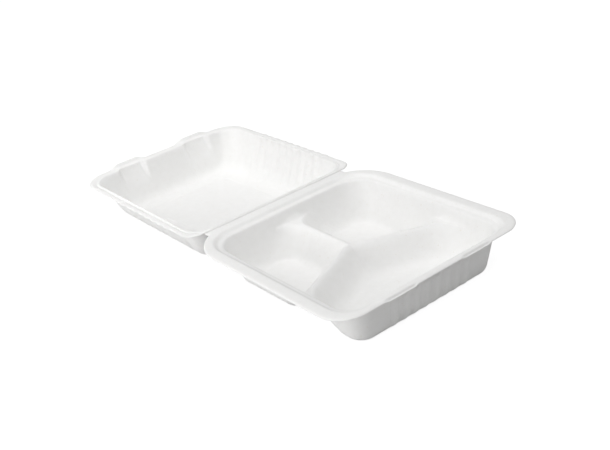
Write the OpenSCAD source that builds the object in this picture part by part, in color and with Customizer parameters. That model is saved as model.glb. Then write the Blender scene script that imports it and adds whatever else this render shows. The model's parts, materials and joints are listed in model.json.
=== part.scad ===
// Meal box of pressed sugar-cane fibre, lying open on a table.
// A tray with three compartments lies towards -Y and its lid towards +Y, joined along a crease that runs along X.
// Both are lofted from rounded rectangles, from the rim inwards, and thickened to one sheet.

/* [Tray] */
// Width of the tray, along the hinge
tray_w = 230; // [215:1:260]
// Depth of the tray, from the hinge crease to its front edge
tray_d = 239; // [225:1:265]
// Thickness of the pressed sheet
sheet = 0.7; // [0.5:0.05:1]

/* [Tray rim] */
// Corner radius of the rim's outline at the front
rim_corner_r = 30; // [26:1:36]
// Corner radius of the rim's outline at the hinge
hinge_corner_r = 58; // [50:1:62]
// Corner radius of the step at the hinge
step_corner_r = 32; // [28:1:36]
// Width of the flange at the sides and at the hinge
flange_w = 12.5; // [10:0.5:15]
// Width of the flange at the front
front_flange_w = 6.5; // [5.5:0.5:9]
// How far the flange's outer edge rolls down
rim_roll = 1; // [0.5:0.1:1.5]
// Width of the roll
roll_w = 4; // [3:0.25:5]
// Drop of the step inside the flange
step_h = 3; // [2:0.25:5]
// Width of the step
step_w = 3; // [2:0.25:4]
// Width of the ledge inside the step, at the sides and at the hinge
ledge_w = 5; // [4:0.5:8]
// Width of the ledge at the front
front_ledge_w = 2; // [1.5:0.25:4]
// Rounding from the ledge into the wall
wall_round = 2; // [1:0.25:3]

/* [Tray walls] */
// Run of the side walls, from the ledge to the foot
side_run = 12; // [8:0.5:15]
// Run of the front wall
front_run = 7; // [5:0.5:10]
// Run of the hinge wall
hinge_run = 11; // [8:0.5:15]
// Size of the rounding between the walls and the floor
foot_r = 5; // [4:0.5:8]
// Corner radius at the foot of the walls
foot_corner_r = 19; // [16:1:24]

/* [Divider] */
// Height of the divider's crest over the table
crest_h = 27; // [20:1:30]
// Distance of the junction from the hinge crease
junction_d = 115; // [105:1:125]
// Angle between the two arms and the hinge
arm_angle = 27; // [20:1:32]
// Radius of the rounded crest
crest_r = 3; // [2:0.5:6]
// Slope of the divider's sides
divider_slope = 65; // [58:1:72]
// Rounding where the divider meets the floor, the walls and itself
divider_fillet = 12; // [6:0.5:16]
// Radius of the divider's flares, seen from above, where it runs into the walls
flare_r = 16; // [8:1:24]
// Length over which the stem's crest curves up to the hinge ledge
stem_rise_l = 34; // [20:1:45]

/* [Front ribs] */
// Number of ribs on the tray's front wall
rib_count = 8; // [4:1:9]
// Spacing of the ribs
rib_pitch = 12.5; // [9:0.5:13]
// How far a rib stands out
rib_depth = 2; // [0.5:0.1:2.5]

/* [Locks] */
// Distance of each lock and tab from the middle
lock_x = 46; // [40:1:50]
// Width of the two lock ledges on the tray's front edge
lock_w = 34; // [24:1:38]
// Drop of a lock ledge under the flange
lock_drop = 2.2; // [1.6:0.1:4]
// Width of a lock ledge
lock_ledge = 1.2; // [1:0.1:2.2]
// Width of the slope at each end of a lock
lock_slope = 5; // [4:0.5:8]

/* [Lid rim] */
// How far the lid's rim stays inside the tray's at each side
lid_setback = 7; // [4:0.5:9]
// How far the lid's front edge reaches past the tray's
lid_overhang = 3.5; // [2.5:0.25:5]
// Corner radius of the lid's outline
lid_corner_r = 30; // [27:1:30]
// Width of the lid's flange at the hinge
lid_hinge_flange = 3; // [2:0.25:5]
// Corner radius of the lid's mouth at the hinge
lid_mouth_r = 22; // [22:1:24]
// Height of the bead that drops inside the tray's step
bead_h = 1.2; // [0.6:0.1:1.6]
// Clearance between the bead and the step
bead_clear = 1.2; // [0.8:0.1:2]
// Half width of the bead
bead_w = 2.2; // [1.5:0.1:3]
// Distance from the crease at which the bead starts to rise
bead_start = 30; // [26:1:40]
// Length over which the bead rises
bead_ramp = 40; // [30:1:60]

/* [Lid walls] */
// Run of the lid's side walls, from the bead to the foot
lid_side_run = 18; // [12:0.5:22]
// Run of the lid's front wall
lid_front_run = 14; // [10:0.5:18]
// Run of the lid's hinge wall
lid_hinge_run = 13; // [10:0.5:18]
// Size of the rounding between the lid's walls and its floor
lid_foot_r = 9; // [6:0.5:12]
// Corner radius at the foot of the lid's walls
lid_foot_corner_r = 20; // [16:1:26]
// Number of ribs on each side wall of the lid
lid_rib_count = 7; // [4:1:8]
// Spacing of the lid's ribs
lid_rib_pitch = 15.5; // [10:0.5:16]
// How far a rib of the lid stands out
lid_rib_depth = 1.5; // [0.5:0.1:2.5]
// Width of the border round the lid's panel
panel_border = 16; // [8:1:24]
// Height of the panel in the lid's floor
panel_h = 1.2; // [0.5:0.1:2.5]
// Width of the panel's sloped edge
panel_edge = 3; // [2:0.25:5]

/* [Tabs] */
// Width of the two tabs on the lid's front edge
tab_w = 42; // [36:1:46]
// Height of a tab over the lid's rim
tab_h = 4; // [2:0.5:7]
// How far the wall behind a tab bulges out
pocket_d = 6; // [3:0.5:7]
// How far down the wall the bulge reaches
pocket_h = 26; // [18:1:30]
// Width of the slope at each end of a tab
tab_slope = 16; // [8:1:18]

/* [Hinge] */
// Height of the fold line over the table
fold_h = 44; // [38:1:55]
// Gap between the two edges at the crease
crease_gap = 0.6; // [0.4:0.1:1]
// Gap between the two flanges when the box is closed
closed_gap = 0.4; // [0.3:0.05:0.8]

/* [Hidden] */
fibre_white = [0.94, 0.935, 0.92];

// Steps in each half of a corner, in the ribs and along the divider's arms
half_corner_steps = 3;
steps_per_rib = 3;
arm_rows = [-28, -19, -12, -6, 0, 6, 12, 19, 28];
hinge_rows = 2;
least_step = 1;
// Shares of a ring's inset by which its corners tighten: the flange at the hinge, the tray, the lid
flange_shrink = 1.5;
corner_shrink = 0.55;
lid_shrink = 0.45;
// Drop of the lid's wall inside the bead
lid_wall_drop = 1;
// Distance from the ledge to the place where the divider's flares end in a wall
flare_in = 3;

lid_w = tray_w - 2 * lid_setback;
lid_d = tray_d + lid_overhang;
// The crease's place leaves the origin under the middle of the whole box
crease_y = (tray_d - lid_d - sheet) / 2;
edge_d = crease_gap / 2;
// Both rims stay under the fold line by half the gap that closing leaves between them
rim_h = fold_h - closed_gap / 2;
floor_z = sheet;

// Blends
function clamp(v, low, high) = max(low, min(high, v));
function mix(a, b, t) = a + (b - a) * t;
function ease(t) = let(c = clamp(t, 0, 1)) c * c * (3 - 2 * c);
// The larger of two heights, with a rounding of size k where they meet
function round_max(a, b, k) =
    let(h = max(k - abs(a - b), 0) / max(k, 0.001))
    max(a, b) + h * h * k / 4;
// 1 over a width about both places of a lock or tab, sloping to 0 at its ends
function pair_bump(x, width, slope) = ease((width / 2 + slope / 2 - abs(abs(x) - lock_x)) / slope);
// 0 to 1 and back over each pitch within the ribbed length
function rib_wave(u, count, pitch) =
    abs(u) < count * pitch / 2 ? (1 - cos(360 * (u / pitch + count / 2))) / 2 : 0;

// Rounded rectangles: x across the hinge, d away from the crease, as [x, d, z]
// A ring is [inset at the sides, at the front, at the hinge, front corner radius, height, hinge corner radius]
function arc_points(cx, cd, r, from_angle, steps, z) =
    [for (k = [0 : steps - 1]) let(a = from_angle - 45 * k / steps) [cx + r * cos(a), cd + r * sin(a), z]];
function arc_inside(cx, cd, r, from_angle, steps, z) =
    let(points = arc_points(cx, cd, r, from_angle, steps, z))
    [for (k = [1 : steps - 1]) points[k]];
function reversed(list) = [for (k = [len(list) - 1 : -1 : 0]) list[k]];
// Places along a straight stretch, drawn together where the stretch is too short for them
function fitted(places, low, high) =
    let(
        span = max(places) - min(places),
        room = high - low - 2 * least_step,
        k = min(1, room / span),
        middle = (max(places) + min(places)) / 2,
        moved = clamp(middle, low + least_step + k * span / 2, high - least_step - k * span / 2)
    )
    [for (place = places) moved + k * (place - middle)];

// Points of a ring from the middle of the front left corner, along the front, the right, the hinge and the left.
// xs are the places along the front and the hinge, ds those along the sides from the front to the hinge.
function ring_points(w, depth, ring, xs, ds) =
    let(
        r = ring[3],
        z = ring[4],
        q = ring[5],
        side = w / 2 - ring[0],
        fx = side - r,
        fd = depth - ring[1] - r,
        hx = side - q,
        hd = ring[2] + q,
        n = half_corner_steps,
        front = fitted(xs, -fx, fx),
        hinge = fitted(xs, -hx, hx),
        along = fitted(ds, hd, fd)
    )
    concat(
        arc_points(-fx, fd, r, 135, n, z),
        [for (x = concat([-fx], front, [fx])) [x, fd + r, z]],
        arc_inside(fx, fd, r, 90, n, z),
        arc_points(fx, fd, r, 45, n, z),
        [for (d = concat([fd], along, [hd])) [side, d, z]],
        arc_inside(hx, hd, q, 0, n, z),
        arc_points(hx, hd, q, -45, n, z),
        [for (x = concat([hx], reversed(hinge), [-hx])) [x, hd - q, z]],
        arc_inside(-hx, hd, q, -90, n, z),
        arc_points(-hx, hd, q, -135, n, z),
        [for (d = concat([hd], reversed(along), [fd])) [-side, d, z]],
        arc_inside(-fx, fd, r, -180, n, z)
    );

// Rings of a wall and its rounded foot, from the wall's top ring to the floor
function foot_rings(top, runs, corner_r, foot, wall_steps) =
    let(
        corner = [top[0] + runs[0], top[1] + runs[1], top[2] + runs[2], corner_r, floor_z, corner_r],
        start = mix(corner, top, 1.2 * foot / (top[4] - floor_z)),
        end = corner + [foot, foot, foot, -foot / 2, 0, -foot / 2]
    )
    concat([for (k = [1 : wall_steps]) mix(top, start, k / wall_steps)], [(start + 2 * corner + end) / 4, end]);

// Sheets
function unit(v) = v / norm(v);
function upward(n) = n[2] < 0 ? -n : n;
function sheet_normal(across, along) = unit(upward(cross(across, along)));

// The lower side of a face list, with the points of the lower side after those of the upper side
function lower(faces, count) = [for (f = faces) [for (k = reversed(f)) k + count]];
function turned(faces) = [for (f = faces) reversed(f)];

// Triangles between a ring and the next one, mirrored about the middle of the width
function band_faces(points, around, rings) =
    [for (r = [0 : rings - 2]) for (p = [0 : around - 1]) let(
        q = (p + 1) % around,
        a = r * around + p,
        b = r * around + q,
        c = a + around,
        e = b + around,
        left = points[a][0] + points[b][0] < 0
    ) each left ? [[a, c, e], [a, e, b]] : [[a, c, b], [b, c, e]]];
function edge_faces(around, count) =
    [for (p = [0 : around - 1]) let(q = (p + 1) % around) each [[p, q, p + count], [q, q + count, p + count]]];

// Tray: places along its sides and rings
rib_places = [for (k = [0 : rib_count * steps_per_rib]) (k / steps_per_rib - rib_count / 2) * rib_pitch];
tray_nx = len(rib_places) + 1 + 2 * half_corner_steps;
tray_ny = len(arm_rows) + hinge_rows + 1 + 2 * half_corner_steps;
tray_around = 2 * (tray_nx + tray_ny);
arm_slope = tan(arm_angle);
function arm_d(x) = junction_d + arm_slope * abs(x);

step_in = [flange_w, front_flange_w, flange_w];
ledge_in = step_in + [step_w, step_w, step_w];
wall_in = ledge_in + [ledge_w, front_ledge_w, ledge_w];
one = [1, 1, 1];
function tray_hinge_r(inset) =
    inset < step_in[2] ?
    hinge_corner_r - flange_shrink * inset :
    step_corner_r - corner_shrink * (inset - step_in[2]);
function tray_ring(inset, drop) =
    let(r = rim_corner_r - corner_shrink * inset[1])
    [inset[0], inset[1], inset[2] + edge_d, r, rim_h - drop, tray_hinge_r(inset[2])];
tray_wall_top = tray_ring(wall_in + wall_round / 2 * one, step_h + wall_round);
tray_foot = foot_rings(tray_wall_top, [side_run, front_run, hinge_run], foot_corner_r, foot_r, 3);
tray_rings = concat([
    tray_ring(0 * one, rim_roll),
    tray_ring(roll_w * 0.3 * one, rim_roll * 0.45),
    tray_ring(roll_w * one, 0),
    tray_ring(step_in, 0),
    tray_ring((step_in + ledge_in) / 2, step_h * 0.55),
    tray_ring(ledge_in, step_h),
    tray_ring(wall_in - wall_round / 2 * one, step_h + wall_round * 0.2),
    tray_wall_top
], tray_foot);
tray_ring_count = len(tray_rings);
// How strongly the ribs show on each ring
rib_fade = [0, 0, 0, 0, 0, 0, 0, 0.2, 0.8, 1, 1, 0.8, 0];

// Places along the tray's sides for a ring, close together where the arms of the divider end
function tray_side_places(ring) =
    let(
        middle = arm_d(tray_w / 2 - ring[0]),
        arms = [for (k = [len(arm_rows) - 1 : -1 : 0]) middle + arm_rows[k]],
        first = arms[len(arms) - 1],
        last = ring[2] + ring[5]
    )
    concat(arms, [for (k = [1 : hinge_rows]) mix(first, last, k / (hinge_rows + 1))]);

// A lock turns the flange's outer edge down to a small ledge
lock_shift = [0, lock_ledge - roll_w * 0.3, lock_ledge + 0.6 - roll_w];
lock_fall = [lock_drop - rim_roll, lock_drop - rim_roll * 0.45 - 0.3, 0];
function tray_front(point, r) =
    let(
        rib = rib_depth * rib_fade[r] * rib_wave(point[0], rib_count, rib_pitch),
        lock = pair_bump(point[0], lock_w, lock_slope)
    )
    r < len(lock_shift) ? point - lock * [0, lock_shift[r], lock_fall[r]] : point + [0, rib, 0];
function tray_ring_points(r) =
    let(raw = ring_points(tray_w, tray_d, tray_rings[r], rib_places, tray_side_places(tray_rings[r])))
    [for (p = [0 : tray_around - 1]) p > 0 && p < tray_nx ? tray_front(raw[p], r) : raw[p]];

// Divider: a rounded ridge along three lines that meet at the junction
ridge_grade = tan(divider_slope);
ridge_bend = crest_r * ridge_grade * ridge_grade;
function ridge_height(away) = crest_h + ridge_bend - norm([ridge_grade * max(away, 0), ridge_bend]);
// How far each flank of the divider spreads at a distance from a wall
function flare(to_wall) =
    let(left = clamp(flare_r - to_wall, 0, flare_r))
    flare_r - sqrt(flare_r * flare_r - left * left);
function arm_away(x, d) =
    let(
        along = abs(x) * cos(arm_angle) + (d - junction_d) * sin(arm_angle),
        off = abs((d - junction_d) * cos(arm_angle) - abs(x) * sin(arm_angle))
    )
    along > 0 ? off - flare(tray_w / 2 - wall_in[0] - flare_in - abs(x)) : norm([x, d - junction_d]);
function stem_away(x, d) =
    d < junction_d ? abs(x) - flare(d - wall_in[2] - flare_in) : norm([x, d - junction_d]);
function stem_rise(d) =
    let(t = clamp(1 - (d - wall_in[2]) / stem_rise_l, 0, 1))
    (rim_h - step_h - wall_round - crest_h) * t * t;
function divider_height(x, d) =
    let(
        arm = ridge_height(arm_away(x, d)),
        stem = ridge_height(stem_away(x, d)) + stem_rise(d),
        depth = crest_h - max(arm, stem)
    )
    round_max(arm, stem, 2 * divider_fillet * clamp(depth / crest_h, 0, 1));
// The rounding dies out towards the ledge, so that the rim stays level
function pressed(point) =
    let(k = divider_fillet * clamp((rim_h - step_h - point[2]) / divider_fillet, 0, 1))
    [point[0], point[1], round_max(point[2], divider_height(point[0], point[1]), k)];

// Tray floor: a net between the four sides of the last ring, whose rows follow the arms
tray_last = (tray_ring_count - 1) * tray_around;
function tray_index(i, j) =
    j == 0 ? tray_last + i :
    i == tray_nx ? tray_last + tray_nx + j :
    j == tray_ny ? tray_last + 2 * tray_nx + tray_ny - i :
    i == 0 ? tray_last + 2 * (tray_nx + tray_ny) - j :
    tray_ring_count * tray_around + (j - 1) * (tray_nx - 1) + i - 1;
function net_point(foot, i, j) =
    let(
        u = i / tray_nx,
        v = j / tray_ny,
        front = foot[i],
        right = foot[tray_nx + j],
        back = foot[2 * tray_nx + tray_ny - i],
        left = foot[(2 * (tray_nx + tray_ny) - j) % tray_around],
        corners = (1 - v) * mix(foot[0], foot[tray_nx], u)
            + v * mix(foot[2 * tray_nx + tray_ny], foot[tray_nx + tray_ny], u),
        flat = mix(front, back, v) + mix(left, right, u) - corners,
        arms_front = foot[tray_nx + half_corner_steps + 1][1],
        arms_back = foot[tray_nx + half_corner_steps + len(arm_rows)][1],
        before = (front[1] - flat[1]) / (front[1] - arms_front),
        behind = (flat[1] - back[1]) / (arms_back - back[1]),
        follow = clamp(min(before, behind), 0, 1),
        shift = arm_slope * (abs(right[0]) - abs(flat[0]))
    )
    [flat[0], flat[1] - follow * max(shift, 0), floor_z];
function tray_points() =
    let(
        rings = [for (r = [0 : tray_ring_count - 1]) tray_ring_points(r)],
        foot = rings[tray_ring_count - 1],
        floor_net = [for (j = [1 : tray_ny - 1]) for (i = [1 : tray_nx - 1]) net_point(foot, i, j)]
    )
    [for (point = concat([for (ring = rings) each ring], floor_net)) pressed(point)];
function tray_net_faces(points) =
    [for (j = [0 : tray_ny - 1]) for (i = [0 : tray_nx - 1]) let(
        a = tray_index(i, j),
        b = tray_index(i + 1, j),
        c = tray_index(i, j + 1),
        e = tray_index(i + 1, j + 1),
        left = points[a][0] + points[b][0] < 0
    ) each left ? [[a, c, e], [a, e, b]] : [[a, c, b], [b, c, e]]];

// The net's point just inside a point of the last ring
function tray_inside(p) =
    let(
        i = p <= tray_nx ? p : p <= tray_nx + tray_ny ? tray_nx : 2 * tray_nx + tray_ny - p,
        j = p <= tray_nx ? 0 : p <= tray_nx + tray_ny ? p - tray_nx : tray_around - p
    )
    tray_index(clamp(i, 1, tray_nx - 1), clamp(j, 1, tray_ny - 1));
function tray_lower_points(points) = concat(
    [for (r = [0 : tray_ring_count - 1]) for (p = [0 : tray_around - 1]) let(
        k = r * tray_around,
        across = points[k + (p + 1) % tray_around] - points[k + (p + tray_around - 1) % tray_around],
        inner = r < tray_ring_count - 1 ? k + tray_around + p : tray_inside(p),
        along = points[inner] - points[max(r - 1, 0) * tray_around + p]
    ) points[k + p] - sheet * sheet_normal(across, along)],
    [for (j = [1 : tray_ny - 1]) for (i = [1 : tray_nx - 1]) let(
        across = points[tray_index(i + 1, j)] - points[tray_index(i - 1, j)],
        along = points[tray_index(i, j + 1)] - points[tray_index(i, j - 1)]
    ) points[tray_index(i, j)] - sheet * sheet_normal(across, along)]
);

// Lid: places along its front and sides and rings
tab_ends = [tab_w / 2 + tab_slope / 2, tab_w / 2 - tab_slope / 2];
tab_places = [
    lock_x - tab_ends[0], lock_x - tab_ends[1], lock_x, lock_x + tab_ends[1], lock_x + tab_ends[0]
];
lid_places = concat(-reversed(tab_places), [0], tab_places);
lid_nx = len(lid_places) + 1 + 2 * half_corner_steps;
lid_rib_steps = lid_rib_count * steps_per_rib;
lid_side_places = [for (k = [lid_rib_steps : -1 : 0])
    lid_d / 2 + (k / steps_per_rib - lid_rib_count / 2) * lid_rib_pitch];
lid_ny = len(lid_side_places) + 1 + 2 * half_corner_steps;
lid_around = 2 * (lid_nx + lid_ny);

bead_side_in = ledge_in[0] + bead_clear - lid_setback;
bead_front_in = ledge_in[1] + bead_clear + lid_overhang;
bead_in = [bead_side_in, bead_front_in, lid_hinge_flange];
function lid_hinge_r(inset) =
    inset > lid_hinge_flange / 2 ?
    lid_mouth_r - corner_shrink * (inset - lid_hinge_flange) :
    lid_corner_r - inset;
function lid_ring(inset, drop) =
    let(r = lid_corner_r - lid_shrink * inset[1])
    [inset[0], inset[1], inset[2] + edge_d, r, rim_h - drop, lid_hinge_r(inset[2])];
lid_wall_top = lid_ring(bead_in + 1.3 * bead_w * one, lid_wall_drop);
lid_runs = [lid_side_run, lid_front_run, lid_hinge_run];
lid_foot = foot_rings(lid_wall_top, lid_runs, lid_foot_corner_r, lid_foot_r, 2);
lid_floor = lid_foot[len(lid_foot) - 1];
lid_panel_out = lid_floor + panel_border * [1, 1, 1, -0.3, 0, -0.3];
lid_panel_in = lid_panel_out + [panel_edge, panel_edge, panel_edge, 0, panel_h, 0];
lid_rings = concat([
    lid_ring(0 * one, rim_roll * 0.6),
    lid_ring([0.4 * roll_w, 0.4 * roll_w, 0.2 * lid_hinge_flange], rim_roll * 0.2),
    lid_ring([roll_w, roll_w, 0.5 * lid_hinge_flange], 0),
    lid_ring(bead_in - [bead_w, bead_w, 0.2 * lid_hinge_flange], 0),
    lid_ring(bead_in, 0),
    lid_wall_top
], lid_foot, [lid_panel_out, lid_panel_in]);
lid_ring_count = len(lid_rings);
lid_rib_fade = [0, 0, 0, 0, 0, 0.3, 1, 1, 0.6, 0, 0, 0];

// The bead stands on one ring and is missing near the hinge, where the tray's flange is wide
bead_ring = 4;
function beaded(point, r) =
    r == bead_ring ? point + [0, 0, bead_h * clamp((point[1] - bead_start) / bead_ramp, 0, 1)] : point;

// A tab raises the outer edge, and the wall behind it bulges out to meet it
tab_rise = [tab_h + rim_roll * 0.6, 0.25 * tab_h, 0, 0, -bead_h, 0];
tab_shift = [0, -0.6, -1.2, 0.7 * pocket_d, 0.85 * pocket_d, pocket_d];
function lid_front(point, r) =
    let(
        tab = pair_bump(point[0], tab_w, tab_slope),
        fall = 1 - ease((rim_h - point[2]) / pocket_h),
        out = r < len(tab_shift) ? tab_shift[r] : pocket_d * fall,
        rise = r < len(tab_rise) ? tab_rise[r] : 0
    )
    [point[0], point[1] + tab * out, point[2] + tab * rise];
function lid_side(point, r) =
    let(out = lid_rib_depth * lid_rib_fade[r] * rib_wave(point[1] - lid_d / 2, lid_rib_count, lid_rib_pitch))
    [point[0] + sign(point[0]) * out, point[1], point[2]];
function lid_ring_points(r) =
    let(
        plain = ring_points(lid_w, lid_d, lid_rings[r], lid_places, lid_side_places),
        raw = [for (point = plain) beaded(point, r)]
    )
    [for (p = [0 : lid_around - 1])
        p > 0 && p < lid_nx ? lid_front(raw[p], r) :
        p > lid_nx && p < lid_nx + lid_ny || p > 2 * lid_nx + lid_ny ? lid_side(raw[p], r) : raw[p]];
function lid_points() = [for (r = [0 : lid_ring_count - 1]) each lid_ring_points(r)];
function lid_lower_points(points) =
    let(middle = [0, lid_d / 2, points[len(points) - 1][2]])
    [for (r = [0 : lid_ring_count - 1]) for (p = [0 : lid_around - 1]) let(
        k = r * lid_around,
        across = points[k + (p + 1) % lid_around] - points[k + (p + lid_around - 1) % lid_around],
        inner = r < lid_ring_count - 1 ? points[k + lid_around + p] : middle,
        along = inner - points[max(r - 1, 0) * lid_around + p]
    ) points[k + p] - sheet * sheet_normal(across, along)];

module base() {
    points = tray_points();
    count = len(points);
    upper = concat(band_faces(points, tray_around, tray_ring_count), tray_net_faces(points));
    faces = concat(upper, lower(upper, count), edge_faces(tray_around, count));
    placed = [for (point = concat(points, tray_lower_points(points))) [point[0], crease_y - point[1], point[2]]];
    color(fibre_white) polyhedron(placed, faces, convexity = 12);
}

module lid() {
    points = lid_points();
    count = len(points);
    panel = [for (p = [lid_around - 1 : -1 : 0]) count - lid_around + p];
    upper = concat(band_faces(points, lid_around, lid_ring_count), [panel]);
    faces = turned(concat(upper, lower(upper, count), edge_faces(lid_around, count)));
    placed = [for (point = concat(points, lid_lower_points(points))) [point[0], crease_y + point[1], point[2]]];
    color(fibre_white) polyhedron(placed, faces, convexity = 12);
}

base();
lid();
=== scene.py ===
"""Meal box of pressed sugar-cane fibre, lying open: fine shells, pulp material, light and camera."""

import json
import math

import bpy
import numpy as np
from mathutils import Matrix, Vector


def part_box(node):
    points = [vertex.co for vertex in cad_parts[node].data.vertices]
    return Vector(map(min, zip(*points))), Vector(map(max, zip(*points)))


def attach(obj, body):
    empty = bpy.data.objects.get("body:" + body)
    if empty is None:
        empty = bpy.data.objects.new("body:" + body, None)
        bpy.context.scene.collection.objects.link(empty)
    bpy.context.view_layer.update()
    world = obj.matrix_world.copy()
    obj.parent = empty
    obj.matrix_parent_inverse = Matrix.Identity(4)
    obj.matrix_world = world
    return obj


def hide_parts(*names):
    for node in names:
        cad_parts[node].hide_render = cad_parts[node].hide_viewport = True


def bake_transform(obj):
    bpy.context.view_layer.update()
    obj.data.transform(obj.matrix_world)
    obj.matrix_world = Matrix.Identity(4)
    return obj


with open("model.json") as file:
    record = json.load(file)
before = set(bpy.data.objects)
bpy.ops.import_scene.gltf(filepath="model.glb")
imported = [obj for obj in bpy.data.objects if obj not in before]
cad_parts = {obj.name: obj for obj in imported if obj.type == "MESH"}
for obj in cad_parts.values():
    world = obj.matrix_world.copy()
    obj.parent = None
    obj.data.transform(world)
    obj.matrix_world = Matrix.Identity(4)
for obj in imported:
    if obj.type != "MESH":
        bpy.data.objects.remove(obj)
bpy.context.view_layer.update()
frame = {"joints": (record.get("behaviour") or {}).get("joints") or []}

# Shapes are worked out in millimetres, as [x across the hinge, d away from the crease, z up]
MM = 0.001

# Frame: the fold line and the outlines of both halves
hinge_at = frame["joints"][0]["pos_m"]
CREASE_Y = hinge_at[1] / MM
base_low, base_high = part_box("base")
lid_low, lid_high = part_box("lid")
TRAY_W = (base_high.x - base_low.x) / MM
TRAY_D = CREASE_Y - base_low.y / MM
RIM_H = base_high.z / MM
LID_W = (lid_high.x - lid_low.x) / MM
LID_OVERHANG = 3.5
LID_D = TRAY_D + LID_OVERHANG
LID_SETBACK = (TRAY_W - LID_W) / 2
EDGE_D = CREASE_Y - base_high.y / MM

# Sheet
SHEET = 0.7
FLOOR_Z = SHEET
EDGE_BULGE = 0.2

# Tray rim
RIM_CORNER_R = 28
HINGE_CORNER_R = 52
STEP_CORNER_R = 32
FLANGE_W = 12.5
FRONT_FLANGE_W = 6.5
RIM_ROLL = 1.0
ROLL_W = 4.0
STEP_H = 3.0
STEP_W = 3.0
LEDGE_W = 5.0
FRONT_LEDGE_W = 2.0
WALL_ROUND = 2.0

# Tray walls
SIDE_RUN = 12
FRONT_RUN = 6
HINGE_RUN = 18
FOOT_R = 5
FOOT_CORNER_R = 14

# Divider
CREST_H = 28.5
JUNCTION_D = 115
ARM_ANGLE = math.radians(25)
CREST_R = 3.5
DIVIDER_SLOPE = math.radians(65)
DIVIDER_FILLET = 12
FRONT_FLARE_R = 22
BACK_FLARE_R = 12
STEM_FLARE_R = 20
FAR_BELOW = -60.0

# Front ribs of the tray
RIB_COUNT = 8
RIB_PITCH = 12.5
RIB_DEPTH = 2.0
RIB_PAST_TOP = 1
RIB_TOP_FADE = 7
RIB_FOOT_FADE = 5

# Locks on the tray's front edge
LOCK_X = 46
LOCK_W = 34
LOCK_DROP = 2.2
LOCK_LEDGE = 1.2
LOCK_SLOPE = 5

# Lid rim and walls
LID_CORNER_R = 30
LID_HINGE_CORNER_R = 16
LID_HINGE_FLANGE = 3
LID_MOUTH_R = 22
BEAD_H = 1.2
GROOVE = 0.8
BEAD_CLEAR = 2.7
BEAD_W = 1.6
BEAD_START = 30
BEAD_RAMP = 40
LID_EDGE_IN = 1.5
LID_WALL_DROP = 1
LID_WALL_ROUND = 3
LID_SIDE_RUN = 18
LID_FRONT_RUN = 14
LID_HINGE_RUN = 13
LID_FOOT_R = 9
LID_FOOT_CORNER_R = 20
LID_RIB_COUNT = 10
LID_RIB_PITCH = 13
LID_RIB_DEPTH = 3.0
LID_RIB_D = 106
LID_RIB_PAST_RIM = 2
LID_RIB_TOP_FADE = 6
LID_RIB_FOOT = 3
LID_RIB_FOOT_FADE = 12
PANEL_BORDER = 16
PANEL_H = 1.2
PANEL_EDGE = 3

# Fold
CREASE_HALF_X = LID_W / 2 - LID_HINGE_CORNER_R - 2
CREASE_LAP = 0.8
CREASE_Z = RIM_H - 1.2
CREASE_SHEET = 0.35
CREASE_PLACES = 61
FOLD_PLACES = 9
WEB_SHARES = np.linspace(1, 0.2, 5)

# Tabs on the lid's front edge
TAB_W = 38
TAB_H = 4
TAB_SLOPE = 16
TAB_LEAN = 0.6
TAB_TO_POCKET = 0.5
POCKET_W = 32
POCKET_SLOPE = 5
POCKET_D = 7
POCKET_H = 26

# Fineness of the shells
ARC_STEPS = 10
FRONT_STEPS = 100
SIDE_STEPS = 100
FILLET_STEPS = 5
TRAY_ROW_STEP = 2.2
LID_ROW_STEP = 3.0
HALVINGS = 20

# Fibre: colours, and grain as features in a metre and heights in metres
CLOUD_DARK = (0.848, 0.845, 0.836, 1)
CLOUD_PALE = (0.876, 0.874, 0.867, 1)
FLECK_COLOUR = (0.7, 0.64, 0.53, 1)
CLOUD_GRAIN = 140
FLECK_GRAIN = 420
FIBRE_GRAIN = 900
WIRE_GRAIN = 420
FIBRE_BUMP = 0.0003
WIRE_BUMP = 0.0001

# Floor
FLOOR_SIZE = 60
FLOOR_DROP = 0.0002
FLOOR_COLOUR = (0.75, 0.75, 0.75, 1)
FLOOR_WHITE_SHARE = 0.7
FLOOR_WHITE = 1.28

# Camera, fitted to the photograph: its place from the middle of the crease, and its turn
CAMERA_FROM_CREASE = Vector((-0.4881, -0.7592, 0.4117))
CAMERA_AZIMUTH = math.radians(-34.39)
CAMERA_ELEVATION = math.radians(26.31)
CAMERA_ROLL = math.radians(-9.24)
CAMERA_FOCAL_PX = 948.4
IMAGE_W_PX = 610
SENSOR_W = 36.0


# Blends

def clamp(v, low, high):
    return np.minimum(np.maximum(v, low), high)


def ease(t):
    c = clamp(t, 0, 1)
    return c * c * (3 - 2 * c)


def round_max(a, b, k):
    """The larger of two heights, with a rounding of size k where they meet."""
    h = np.maximum(k - np.abs(a - b), 0) / np.maximum(k, 1e-3)
    return np.maximum(a, b) + h * h * k / 4


def pair_bump(x, width, slope):
    """1 over a width about both places of a lock or tab, sloping to 0 at its ends."""
    return ease((width / 2 + slope / 2 - np.abs(np.abs(x) - LOCK_X)) / slope)


def rib_wave(u, count, pitch):
    """0 to 1 and back over each pitch within the ribbed length."""
    wave = (1 - np.cos(2 * math.pi * (u / pitch + count / 2))) / 2
    return np.where(np.abs(u) < count * pitch / 2, ease(wave), 0)


# Profiles: rows of side, front and hinge inset, front and hinge corner radius, height, push and rise at a tab

def row(insets, radius, height, push=0.0, rise=0.0, hinge_radius=None):
    if hinge_radius is None:
        hinge_radius = radius
    return np.array([*insets, radius, hinge_radius, height, push, rise], float)


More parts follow.
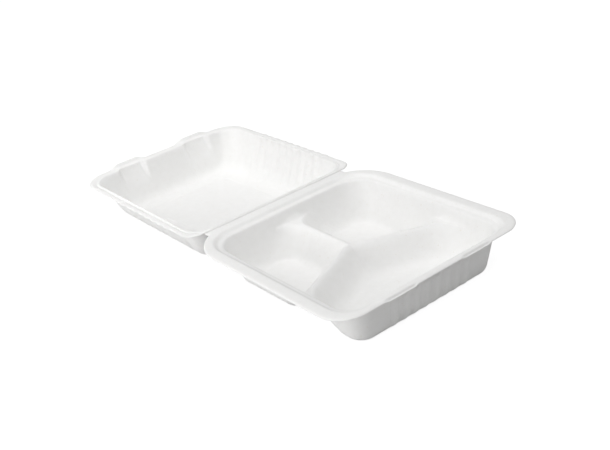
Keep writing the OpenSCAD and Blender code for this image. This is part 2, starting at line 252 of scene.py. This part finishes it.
def smooth_profile(corners, cuts, row_step):
    """Corner rows with a curve across each corner; a cut is its share of the stretches before and after."""
    rows = [corners[0]]
    for before, corner, after, (cut_before, cut_after) in zip(corners, corners[1:], corners[2:], cuts):
        first = corner + (before - corner) * cut_before
        last = corner + (after - corner) * cut_after
        for t in np.linspace(0, 1, FILLET_STEPS + 1):
            rows.append((1 - t) ** 2 * first + 2 * t * (1 - t) * corner + t * t * last)
    rows.append(corners[-1])
    spaced = [rows[0]]
    for a, b in zip(rows, rows[1:]):
        length = math.hypot(np.abs(b[:3] - a[:3]).max(), b[5] - a[5])
        if length < 1e-6:
            continue
        steps = max(1, math.ceil(length / row_step))
        spaced += [a + (b - a) * k / steps for k in range(1, steps + 1)]
    return np.array(spaced)


def ring_places():
    """For each place round a ring: its share across and along the straights, and the angle it faces."""
    along = np.linspace(0, 1, SIDE_STEPS + 1)[:-1]
    across = np.linspace(0, 1, FRONT_STEPS + 1)[:-1]
    turn = np.linspace(0, 1, ARC_STEPS + 1)[:-1]
    places = []

    def corner(x, d, start):
        places.extend((x, d, start - 45 * t) for t in turn)

    corner(-1, 1, 135)
    places.extend((-1 + 2 * t, 1, 90) for t in across)
    corner(1, 1, 90)
    corner(1, 1, 45)
    places.extend((1, 1 - 2 * t, 0) for t in along)
    corner(1, -1, 0)
    corner(1, -1, -45)
    places.extend((1 - 2 * t, -1, -90) for t in across)
    corner(-1, -1, -90)
    corner(-1, -1, -135)
    places.extend((-1, -1 + 2 * t, -180) for t in along)
    corner(-1, 1, -180)
    places = np.array(places)
    return places[:, 0], places[:, 1], np.radians(places[:, 2])


PLACE_X, PLACE_D, PLACE_ANGLE = ring_places()
AROUND = len(PLACE_X)
NET_X = FRONT_STEPS + 2 * ARC_STEPS
NET_D = SIDE_STEPS + 2 * ARC_STEPS
FRONT_PLACES = np.arange(AROUND) < NET_X
SIDE_PLACES = np.abs(np.cos(PLACE_ANGLE)) > 0.99


def rings(profile, width, depth):
    """Points of every ring of a profile: an array of rings, places and coordinates."""
    side, front, hinge, front_r, hinge_r, height = (profile[:, k, None] for k in range(6))
    frontness = (1 + PLACE_D) / 2
    radius = frontness * front_r + (1 - frontness) * hinge_r
    half_x = width / 2 - side - radius
    x = half_x * PLACE_X + radius * np.cos(PLACE_ANGLE)
    middle_d = frontness * (depth - front - front_r) + (1 - frontness) * (hinge + hinge_r)
    d = middle_d + radius * np.sin(PLACE_ANGLE)
    z = np.broadcast_to(height, x.shape).copy()
    return np.stack([x, d, z], axis=2)


# Tray

STEP_IN = np.array([FLANGE_W, FRONT_FLANGE_W, FLANGE_W])
LEDGE_IN = STEP_IN + STEP_W
WALL_IN = LEDGE_IN + np.array([LEDGE_W, FRONT_LEDGE_W, LEDGE_W])
HINGE_EDGE = np.array([0, 0, EDGE_D])
NONE = np.zeros(3)
ONE = np.ones(3)


def tray_profile():
    rim, roll, lock_fall = RIM_H, RIM_ROLL, LOCK_DROP - RIM_ROLL
    foot = WALL_IN + WALL_ROUND / 2 + np.array([SIDE_RUN, FRONT_RUN, HINGE_RUN])
    step_z = rim - STEP_H
    wall_top = step_z - 0.25 * WALL_ROUND
    corners = [
        row(NONE + HINGE_EDGE, RIM_CORNER_R, rim - roll, 0, -lock_fall, HINGE_CORNER_R),
        row(0.25 * ROLL_W * ONE + HINGE_EDGE, RIM_CORNER_R - 1, rim - 0.4 * roll,
            0.25 * ROLL_W - LOCK_LEDGE, -lock_fall - 0.4 * roll, HINGE_CORNER_R - 2),
        row(0.6 * ROLL_W * ONE + HINGE_EDGE, RIM_CORNER_R - 2, rim, 0, 0, HINGE_CORNER_R - 5),
        row(STEP_IN + HINGE_EDGE, RIM_CORNER_R - 4, rim, 0, 0, STEP_CORNER_R),
        row(LEDGE_IN + HINGE_EDGE, RIM_CORNER_R - 5, step_z, 0, 0, STEP_CORNER_R - 2),
        row(WALL_IN + HINGE_EDGE, RIM_CORNER_R - 6, wall_top, 0, 0, STEP_CORNER_R - 4),
        row(foot + HINGE_EDGE, FOOT_CORNER_R, FLOOR_Z),
        row(foot + FOOT_R + HINGE_EDGE, FOOT_CORNER_R - FOOT_R / 2, FLOOR_Z),
    ]
    wall_share = WALL_ROUND / (wall_top - FLOOR_Z)
    foot_share = 1.2 * FOOT_R / (wall_top - FLOOR_Z)
    cuts = [(0.35, 0.35), (0.4, 0.25), (0.2, 0.45), (0.45, 0.3), (0.45, wall_share), (foot_share, 1)]
    return smooth_profile(corners, cuts, TRAY_ROW_STEP)


def flare(to_wall, radius):
    """How far a flank of the ridge spreads as it rounds into a wall."""
    left = clamp(radius - to_wall, 0, radius)
    return radius - np.sqrt(radius * radius - left * left)


def ridge_height(away):
    grade = math.tan(DIVIDER_SLOPE)
    bend = CREST_R * grade * grade
    return CREST_H + bend - np.hypot(grade * away, bend)


def flared_ridge(off, wall_at, run, place, radius):
    """Height of a straight ridge whose flank rounds into a drafted wall, found by halving."""
    wall_top = RIM_H - STEP_H
    low, high = np.full_like(off, FAR_BELOW), np.full_like(off, CREST_H)
    for _ in range(HALVINGS):
        middle = (low + high) / 2
        to_wall = wall_at - run * (1 - clamp(middle / wall_top, 0, 1)) - place
        above = ridge_height(np.maximum(off - flare(to_wall, radius), 0)) > middle
        low, high = np.where(above, middle, low), np.where(above, high, middle)
    return low


def divider_height(x, d):
    """Height of the Y-shaped ridge, two arms and a stem, and how far along a flare each place lies."""
    side = np.abs(x)
    past = d - JUNCTION_D
    to_junction = ridge_height(np.hypot(x, past))
    along = side * math.cos(ARM_ANGLE) + past * math.sin(ARM_ANGLE)
    before_arm = past * math.cos(ARM_ANGLE) - side * math.sin(ARM_ANGLE)
    side_wall = TRAY_W / 2 - WALL_IN[0] - WALL_ROUND / 2
    hinge_wall = WALL_IN[2] + EDGE_D + WALL_ROUND / 2
    radius = np.where(before_arm > 0, FRONT_FLARE_R, BACK_FLARE_R)
    arm = flared_ridge(np.abs(before_arm), side_wall, SIDE_RUN, side, radius)
    stem = flared_ridge(side, -hinge_wall, HINGE_RUN, -d, STEM_FLARE_R)
    arm = np.where(along > 0, arm, to_junction)
    stem = np.where(past < 0, stem, to_junction)
    depth = CREST_H - np.maximum(arm, stem)
    spread = np.minimum(np.abs(before_arm) / radius, side / STEM_FLARE_R)
    return round_max(arm, stem, 2 * DIVIDER_FILLET * clamp(depth / CREST_H, 0, 1)), spread


def net(foot, follow_slope):
    """A net across the last ring, whose rows bend towards the hinge at the middle, as the arms do."""
    front = foot[:NET_X + 1]
    right = foot[NET_X:NET_X + NET_D + 1]
    back = foot[NET_X + NET_D:2 * NET_X + NET_D + 1][::-1]
    left = np.concatenate([foot[2 * NET_X + NET_D:], foot[:1]])[::-1]
    u = np.linspace(0, 1, NET_X + 1)[None, :, None]
    v = np.linspace(0, 1, NET_D + 1)[:, None, None]
    edges = (1 - v) * front[None] + v * back[None] + (1 - u) * left[:, None] + u * right[:, None]
    corners = (1 - v) * ((1 - u) * front[0] + u * front[-1]) + v * ((1 - u) * back[0] + u * back[-1])
    flat = edges - corners
    arms_d = JUNCTION_D + follow_slope * np.abs(right[NET_D // 2, 0])
    front_d, back_d = front[None, :, 1], back[None, :, 1]
    before = (front_d - flat[..., 1]) / (front_d - arms_d)
    behind = (flat[..., 1] - back_d) / (arms_d - back_d)
    follow = clamp(np.minimum(before, behind), 0, 1)
    shift = follow_slope * np.maximum(np.abs(right[:, None, 0]) - np.abs(flat[..., 0]), 0)
    flat[..., 1] -= follow * shift
    return flat


def front_features(points, bump, push, rise):
    """Push and raise the front side's points at the tabs or locks."""
    points[..., 1] += bump * FRONT_PLACES * push
    points[..., 2] += bump * FRONT_PLACES * rise


def tray_points():
    profile = tray_profile()
    points = rings(profile, TRAY_W, TRAY_D)
    z = points[..., 2].copy()
    locks = pair_bump(points[..., 0], LOCK_W, LOCK_SLOPE)
    front_features(points, locks, profile[:, 6, None], profile[:, 7, None])
    wall_top = RIM_H - STEP_H - WALL_ROUND
    fade = ease((wall_top + RIB_PAST_TOP - z) / RIB_TOP_FADE) * ease((z - FLOOR_Z) / RIB_FOOT_FADE)
    ribs = RIB_DEPTH * fade * rib_wave(points[..., 0], RIB_COUNT, RIB_PITCH)
    points[..., 1] += ribs * FRONT_PLACES
    floor = net(points[-1], math.tan(ARM_ANGLE))
    for part in (points, floor):
        ridge, spread = divider_height(part[..., 0], part[..., 1])
        up_wall = ease((part[..., 2] - FLOOR_Z) / (CREST_H / 2))
        below_ledge = clamp((RIM_H - STEP_H - part[..., 2]) / DIVIDER_FILLET, 0, 1)
        fillet = DIVIDER_FILLET * (1 - ease(spread) * up_wall)
        part[..., 2] = round_max(part[..., 2], ridge, fillet * below_ledge)
    return points, floor


# Lid

BEAD_IN = STEP_IN + BEAD_CLEAR + np.array([-LID_SETBACK, LID_OVERHANG, 0])
BEAD_IN[2] = LID_HINGE_FLANGE


def lid_profile():
    rim, roll, mouth_r = RIM_H, RIM_ROLL, LID_MOUTH_R
    edge_in = np.array([LID_EDGE_IN, LID_EDGE_IN, 0.2 * LID_HINGE_FLANGE])
    roll_in = np.array([ROLL_W, ROLL_W, 0.5 * LID_HINGE_FLANGE])
    before_bead = BEAD_IN - np.array([BEAD_W, BEAD_W, 0.2 * LID_HINGE_FLANGE])
    wall_in = BEAD_IN + 1.3 * BEAD_W
    foot = wall_in + np.array([LID_SIDE_RUN, LID_FRONT_RUN, LID_HINGE_RUN])
    floor = foot + LID_FOOT_R
    panel = floor + PANEL_BORDER
    floor_r = LID_FOOT_CORNER_R - LID_FOOT_R / 2
    panel_r = floor_r - 0.3 * PANEL_BORDER
    pocket_in = wall_in[1] - POCKET_D
    corner_r, hinge_r = LID_CORNER_R, LID_HINGE_CORNER_R
    corners = [
        row(NONE + HINGE_EDGE, corner_r, rim - 0.6 * roll, 0, TAB_H + 0.6 * roll, hinge_r),
        row(edge_in + HINGE_EDGE, corner_r - 1, rim - 0.2 * roll, -TAB_LEAN, 0.25 * TAB_H, hinge_r + 1),
        row(roll_in + HINGE_EDGE, corner_r - 2, rim, 0, 0, (hinge_r + mouth_r) / 2),
        row(before_bead + HINGE_EDGE, corner_r - 5, rim - GROOVE,
            before_bead[1] - (2 * ROLL_W + pocket_in) / 3, 0, mouth_r - 1),
        row(BEAD_IN + HINGE_EDGE, corner_r - 6, rim + BEAD_H,
            BEAD_IN[1] - (ROLL_W + 2 * pocket_in) / 3, -BEAD_H, mouth_r),
        row(wall_in + HINGE_EDGE, corner_r - 7, rim - LID_WALL_DROP, POCKET_D, 0, mouth_r - 1),
        row(foot + HINGE_EDGE, LID_FOOT_CORNER_R, FLOOR_Z, POCKET_D),
        row(floor + HINGE_EDGE, floor_r, FLOOR_Z),
        row(panel + HINGE_EDGE, panel_r, FLOOR_Z),
        row(panel + PANEL_EDGE + HINGE_EDGE, panel_r, FLOOR_Z + PANEL_H),
        row(panel + 2 * PANEL_EDGE + HINGE_EDGE, panel_r - 1, FLOOR_Z + PANEL_H),
    ]
    wall_share = LID_WALL_ROUND / (rim - FLOOR_Z)
    foot_share = 1.2 * LID_FOOT_R / (rim - FLOOR_Z)
    cuts = [(0.4, 0.3), (0.3, 0.3), (0.3, 0.45), (0.45, 0.45), (0.45, wall_share),
            (foot_share, 0.95), (0.05, 0.1), (0.1, 0.4), (0.4, 0.4)]
    return smooth_profile(corners, cuts, LID_ROW_STEP)


def lid_points():
    profile = lid_profile()
    points = rings(profile, LID_W, LID_D)
    z = points[..., 2].copy()
    wall_top = RIM_H - LID_WALL_DROP
    below = 1 - ease((wall_top - z) / POCKET_H)
    push = profile[:, 6, None] * np.where(z < wall_top, below, 1)
    bead_share = clamp((points[..., 1] - BEAD_START) / BEAD_RAMP, 0, 1)
    points[..., 2] -= np.maximum(z - RIM_H, 0) * (1 - bead_share)
    tabs = pair_bump(points[..., 0], TAB_W, TAB_SLOPE)
    pockets = pair_bump(points[..., 0], POCKET_W, POCKET_SLOPE)
    inward = ease((profile[:, 1, None] - ROLL_W) / TAB_TO_POCKET)
    front_features(points, tabs + (pockets - tabs) * inward, push, profile[:, 7, None])
    fade = ease((RIM_H + LID_RIB_PAST_RIM - z) / LID_RIB_TOP_FADE)
    fade = fade * ease((z - FLOOR_Z - LID_RIB_FOOT) / LID_RIB_FOOT_FADE)
    ribs = LID_RIB_DEPTH * fade * rib_wave(points[..., 1] - LID_RIB_D, LID_RIB_COUNT, LID_RIB_PITCH)
    points[..., 0] += np.sign(points[..., 0]) * ribs * SIDE_PLACES
    return points, net(points[-1], 0)


# Shells

def upper_faces(ring_count):
    """Quads between the rings and across the net, with the net's inner points after those of the rings."""
    faces = []
    for r in range(ring_count - 1):
        for p in range(AROUND):
            q = (p + 1) % AROUND
            a, b = r * AROUND + p, r * AROUND + q
            faces.append((a, a + AROUND, b + AROUND, b))
    last = (ring_count - 1) * AROUND
    index = np.zeros((NET_D + 1, NET_X + 1), int)
    index[0] = last + np.arange(NET_X + 1)
    index[:, -1] = last + NET_X + np.arange(NET_D + 1)
    index[-1] = last + 2 * NET_X + NET_D - np.arange(NET_X + 1)
    index[1:, 0] = last + 2 * (NET_X + NET_D) - np.arange(1, NET_D + 1)
    inner = ring_count * AROUND + np.arange((NET_D - 1) * (NET_X - 1))
    index[1:-1, 1:-1] = inner.reshape(NET_D - 1, NET_X - 1)
    for j in range(NET_D):
        for i in range(NET_X):
            faces.append((index[j, i], index[j + 1, i], index[j + 1, i + 1], index[j, i + 1]))
    return np.array(faces)


def vertex_normals(points, faces):
    a, b, c, e = (points[faces[:, k]] for k in range(4))
    face_normal = np.cross(c - a, e - b)
    normals = np.zeros_like(points)
    for k in range(4):
        np.add.at(normals, faces[:, k], face_normal)
    normals /= np.linalg.norm(normals, axis=1)[:, None]
    return normals * np.where(normals[:, 2:] < 0, -1, 1)


def shell_mesh(name, points, floor, direction):
    """A closed sheet with a rounded edge: the given side up, and one sheet's thickness below it."""
    ring_count = len(points)
    upper = np.concatenate([points.reshape(-1, 3), floor[1:-1, 1:-1].reshape(-1, 3)])
    faces = upper_faces(ring_count)
    normals = vertex_normals(upper, faces)
    lower = upper - SHEET * normals
    count = len(upper)
    outward = upper[:AROUND] - upper[AROUND:2 * AROUND]
    outward -= normals[:AROUND] * (outward * normals[:AROUND]).sum(1)[:, None]
    outward /= np.linalg.norm(outward, axis=1)[:, None]
    edge = (upper[:AROUND] + lower[:AROUND]) / 2 + EDGE_BULGE * outward
    around = np.arange(AROUND)
    after = (around + 1) % AROUND
    middle = 2 * count
    edge_top = np.stack([around, after, middle + after, middle + around], 1)
    edge_under = np.stack([middle + around, middle + after, count + after, count + around], 1)
    all_faces = np.concatenate([faces, edge_top, edge_under, faces[:, ::-1] + count])
    under = np.arange(len(all_faces)) >= len(faces) + AROUND
    local = np.concatenate([upper, lower, edge])
    placed = np.stack([local[:, 0], CREASE_Y + direction * local[:, 1], local[:, 2]], 1)
    if direction > 0:
        all_faces = all_faces[:, ::-1]
    mesh = bpy.data.meshes.new(name)
    mesh.from_pydata((placed * MM).tolist(), [], all_faces.tolist())
    mesh.polygons.foreach_set("material_index", under.astype(int))
    mesh.shade_smooth()
    mesh.validate()
    piece = bpy.data.objects.new(name, mesh)
    bpy.context.scene.collection.objects.link(piece)
    return piece


# Materials

def new_material(name):
    material = bpy.data.materials.new(name)
    material.use_nodes = True
    nodes, links = material.node_tree.nodes, material.node_tree.links
    nodes.clear()
    return material, nodes, links


def fibre_material(name, wire_marks):
    """Bleached pulp: faint clouds and flecks, a fibrous bump, and marks of the mould's wire outside."""
    material, nodes, links = new_material(name)
    out = nodes.new("ShaderNodeOutputMaterial")
    shader = nodes.new("ShaderNodeBsdfPrincipled")
    links.new(shader.outputs["BSDF"], out.inputs["Surface"])
    place = nodes.new("ShaderNodeTexCoord").outputs["Object"]

    clouds = nodes.new("ShaderNodeTexNoise")
    clouds.inputs["Scale"].default_value = CLOUD_GRAIN
    clouds.inputs["Detail"].default_value = 6
    clouds.inputs["Roughness"].default_value = 0.6
    links.new(place, clouds.inputs["Vector"])
    tone = nodes.new("ShaderNodeValToRGB")
    tone.color_ramp.elements[0].position = 0.3
    tone.color_ramp.elements[0].color = CLOUD_DARK
    tone.color_ramp.elements[1].position = 0.7
    tone.color_ramp.elements[1].color = CLOUD_PALE
    links.new(clouds.outputs["Fac"], tone.inputs["Fac"])

    specks = nodes.new("ShaderNodeTexNoise")
    specks.inputs["Scale"].default_value = FLECK_GRAIN
    specks.inputs["Detail"].default_value = 2
    links.new(place, specks.inputs["Vector"])
    rare = nodes.new("ShaderNodeMapRange")
    rare.inputs["From Min"].default_value = 0.66
    rare.inputs["From Max"].default_value = 0.78
    rare.inputs["To Max"].default_value = 0.35
    links.new(specks.outputs["Fac"], rare.inputs["Value"])
    flecked = nodes.new("ShaderNodeMix")
    flecked.data_type = "RGBA"
    flecked.inputs["B"].default_value = FLECK_COLOUR
    links.new(rare.outputs["Result"], flecked.inputs["Factor"])
    links.new(tone.outputs["Color"], flecked.inputs["A"])
    links.new(flecked.outputs["Result"], shader.inputs["Base Color"])

    fibres = nodes.new("ShaderNodeTexNoise")
    fibres.inputs["Scale"].default_value = FIBRE_GRAIN
    fibres.inputs["Detail"].default_value = 4
    fibres.inputs["Distortion"].default_value = 1.2
    links.new(place, fibres.inputs["Vector"])
    matt = nodes.new("ShaderNodeMapRange")
    matt.inputs["To Min"].default_value = 0.62
    matt.inputs["To Max"].default_value = 0.85
    links.new(fibres.outputs["Fac"], matt.inputs["Value"])
    links.new(matt.outputs["Result"], shader.inputs["Roughness"])
    shader.inputs["Specular IOR Level"].default_value = 0.25

    bump = nodes.new("ShaderNodeBump")
    bump.inputs["Strength"].default_value = 0.2
    bump.inputs["Distance"].default_value = FIBRE_BUMP
    links.new(fibres.outputs["Fac"], bump.inputs["Height"])
    if wire_marks:
        wires = None
        for direction in ("X", "Y"):
            wave = nodes.new("ShaderNodeTexWave")
            wave.bands_direction = direction
            wave.inputs["Scale"].default_value = WIRE_GRAIN
            wave.inputs["Distortion"].default_value = 0.6
            links.new(place, wave.inputs["Vector"])
            marks = nodes.new("ShaderNodeBump")
            marks.inputs["Strength"].default_value = 0.2
            marks.inputs["Distance"].default_value = WIRE_BUMP
            links.new(wave.outputs["Fac"], marks.inputs["Height"])
            if wires is not None:
                links.new(wires, marks.inputs["Normal"])
            wires = marks.outputs["Normal"]
        links.new(wires, bump.inputs["Normal"])
    links.new(bump.outputs["Normal"], shader.inputs["Normal"])
    return material


def white_for_camera(nodes, links, shader_socket, white_share):
    """A shader mixed with white, by the given share, for the camera, gloss and glass."""
    path = nodes.new("ShaderNodeLightPath")
    seen = None
    for ray in ("Is Camera Ray", "Is Glossy Ray", "Is Transmission Ray"):
        if seen is None:
            seen = path.outputs[ray]
            continue
        either = nodes.new("ShaderNodeMath")
        either.operation = "MAXIMUM"
        links.new(seen, either.inputs[0])
        links.new(path.outputs[ray], either.inputs[1])
        seen = either.outputs[0]
    share = nodes.new("ShaderNodeMath")
    share.operation = "MULTIPLY"
    share.inputs[1].default_value = white_share
    links.new(seen, share.inputs[0])
    white = nodes.new("ShaderNodeEmission")
    white.inputs["Strength"].default_value = FLOOR_WHITE
    mix = nodes.new("ShaderNodeMixShader")
    links.new(share.outputs[0], mix.inputs["Fac"])
    links.new(shader_socket, mix.inputs[1])
    links.new(white.outputs["Emission"], mix.inputs[2])
    return mix.outputs["Shader"]


def make_floor():
    material, nodes, links = new_material("floor_white")
    out = nodes.new("ShaderNodeOutputMaterial")
    diffuse = nodes.new("ShaderNodeBsdfDiffuse")
    diffuse.inputs["Color"].default_value = FLOOR_COLOUR
    whitened = white_for_camera(nodes, links, diffuse.outputs["BSDF"], FLOOR_WHITE_SHARE)
    links.new(whitened, out.inputs["Surface"])
    bpy.ops.mesh.primitive_plane_add(size=FLOOR_SIZE, location=(0, 0, -FLOOR_DROP))
    floor = bpy.context.object
    floor.name = "floor"
    floor.data.materials.append(material)


def make_world(around, above):
    """Soft light from all round and more of it from above; white to the camera."""
    world = bpy.data.worlds.new("studio")
    bpy.context.scene.world = world
    world.use_nodes = True
    nodes, links = world.node_tree.nodes, world.node_tree.links
    nodes.clear()
    out = nodes.new("ShaderNodeOutputWorld")
    soft = nodes.new("ShaderNodeBackground")
    place = nodes.new("ShaderNodeTexCoord").outputs["Generated"]
    parts = nodes.new("ShaderNodeSeparateXYZ")
    links.new(place, parts.inputs[0])
    upper = nodes.new("ShaderNodeMath")
    upper.operation = "MAXIMUM"
    upper.inputs[1].default_value = 0
    links.new(parts.outputs["Z"], upper.inputs[0])
    squared = nodes.new("ShaderNodeMath")
    squared.operation = "POWER"
    squared.inputs[1].default_value = 2
    links.new(upper.outputs[0], squared.inputs[0])
    level = nodes.new("ShaderNodeMath")
    level.operation = "MULTIPLY_ADD"
    level.inputs[1].default_value = above
    level.inputs[2].default_value = around
    links.new(squared.outputs[0], level.inputs[0])
    links.new(level.outputs[0], soft.inputs["Strength"])
    path = nodes.new("ShaderNodeLightPath")
    white = nodes.new("ShaderNodeBackground")
    mix = nodes.new("ShaderNodeMixShader")
    links.new(path.outputs["Is Camera Ray"], mix.inputs["Fac"])
    links.new(soft.outputs["Background"], mix.inputs[1])
    links.new(white.outputs["Background"], mix.inputs[2])
    links.new(mix.outputs["Shader"], out.inputs["Surface"])


def area_light(name, place, target, size, watts, spread=180):
    light = bpy.data.lights.new(name, "AREA")
    light.energy = watts
    light.size = size
    light.spread = math.radians(spread)
    lamp = bpy.data.objects.new(name, light)
    lamp.location = place
    lamp.rotation_euler = (Vector(target) - Vector(place)).to_track_quat("-Z", "Y").to_euler()
    bpy.context.scene.collection.objects.link(lamp)


def make_camera():
    """The camera looks along its azimuth, down by its elevation, and is rolled about its own axis."""
    forward = Vector((
        -math.sin(CAMERA_AZIMUTH) * math.cos(CAMERA_ELEVATION),
        math.cos(CAMERA_AZIMUTH) * math.cos(CAMERA_ELEVATION),
        -math.sin(CAMERA_ELEVATION),
    ))
    level = Vector((math.cos(CAMERA_AZIMUTH), math.sin(CAMERA_AZIMUTH), 0))
    steep = level.cross(forward)
    right = level * math.cos(CAMERA_ROLL) + steep * math.sin(CAMERA_ROLL)
    up = steep * math.cos(CAMERA_ROLL) - level * math.sin(CAMERA_ROLL)
    lens = bpy.data.cameras.new("camera")
    lens.sensor_width = SENSOR_W
    lens.lens = CAMERA_FOCAL_PX / IMAGE_W_PX * SENSOR_W
    camera = bpy.data.objects.new("camera", lens)
    turn = Matrix((right, up, -forward)).transposed().to_4x4()
    crease = Vector((0, CREASE_Y, RIM_H)) * MM
    camera.matrix_world = Matrix.Translation(crease + CAMERA_FROM_CREASE) @ turn
    bpy.context.scene.collection.objects.link(camera)
    bpy.context.scene.camera = camera


def crease_mesh():
    """The fold: a thin strip under both edges, wider at the tray's corners."""
    fold = EDGE_D + CREASE_LAP
    places_x = np.linspace(-1, 1, CREASE_PLACES) * CREASE_HALF_X
    past_corner = np.maximum(np.abs(places_x) - (TRAY_W / 2 - HINGE_CORNER_R), 0)
    web = CREASE_LAP + HINGE_CORNER_R - np.sqrt(HINGE_CORNER_R ** 2 - past_corner ** 2)
    under_edges = np.linspace(-1, 1, FOLD_PLACES) * fold
    across = [np.concatenate([-fold - w * WEB_SHARES, under_edges]) for w in web]
    top = np.array([(x, CREASE_Y + y, CREASE_Z) for x, line in zip(places_x, across) for y in line])
    under = top - np.array([0, 0, CREASE_SHEET])
    wide, long = len(across[0]), len(places_x)
    count = wide * long
    faces = []
    for i in range(long - 1):
        for j in range(wide - 1):
            a = i * wide + j
            quad = (a, a + wide, a + wide + 1, a + 1)
            faces.append(quad)
            faces.append(tuple(k + count for k in quad[::-1]))
    rim = list(range(wide))
    rim += [i * wide + wide - 1 for i in range(1, long)]
    rim += [(long - 1) * wide + j for j in range(wide - 2, -1, -1)]
    rim += [i * wide for i in range(long - 2, 0, -1)]
    faces += [(a, b, b + count, a + count) for a, b in zip(rim, rim[1:] + rim[:1])]
    mesh = bpy.data.meshes.new("crease_strip")
    mesh.from_pydata((np.concatenate([top, under]) * MM).tolist(), [], faces)
    mesh.shade_smooth()
    mesh.validate()
    piece = bpy.data.objects.new("crease_strip", mesh)
    bpy.context.scene.collection.objects.link(piece)
    return piece


# Pieces
inner_fibre = fibre_material("pressed_fibre_inside", False)
outer_fibre = fibre_material("pressed_fibre_outside", True)

tray = shell_mesh("tray_shell", *tray_points(), direction=-1)
lid = shell_mesh("lid_shell", *lid_points(), direction=1)
for piece, body, node in ((tray, "tray", "base"), (lid, "cover", "lid")):
    piece.data.materials.append(inner_fibre)
    piece.data.materials.append(outer_fibre)
    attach(piece, body)
    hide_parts(node)

strip = crease_mesh()
strip.data.materials.append(inner_fibre)
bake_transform(strip)

# Stage
make_floor()
make_world(0.05, 1.34)
area_light("key", (-1.7, 0.4, 0.95), (0, 0, 0), 1.2, 10.5)
area_light("low_left", (-1.7, 0.1, 0.3), (0, 0, 0), 0.8, 9)
area_light("high_front", (0.2, -0.9, 1.7), (0, 0, 0), 1.0, 7.5)
area_light("lid_fill", (0.2, -0.4, 1.3), (-0.05, 0.3, 0), 0.5, 0.15, spread=26)
make_camera()
bpy.context.scene.view_settings.view_transform = "Standard"
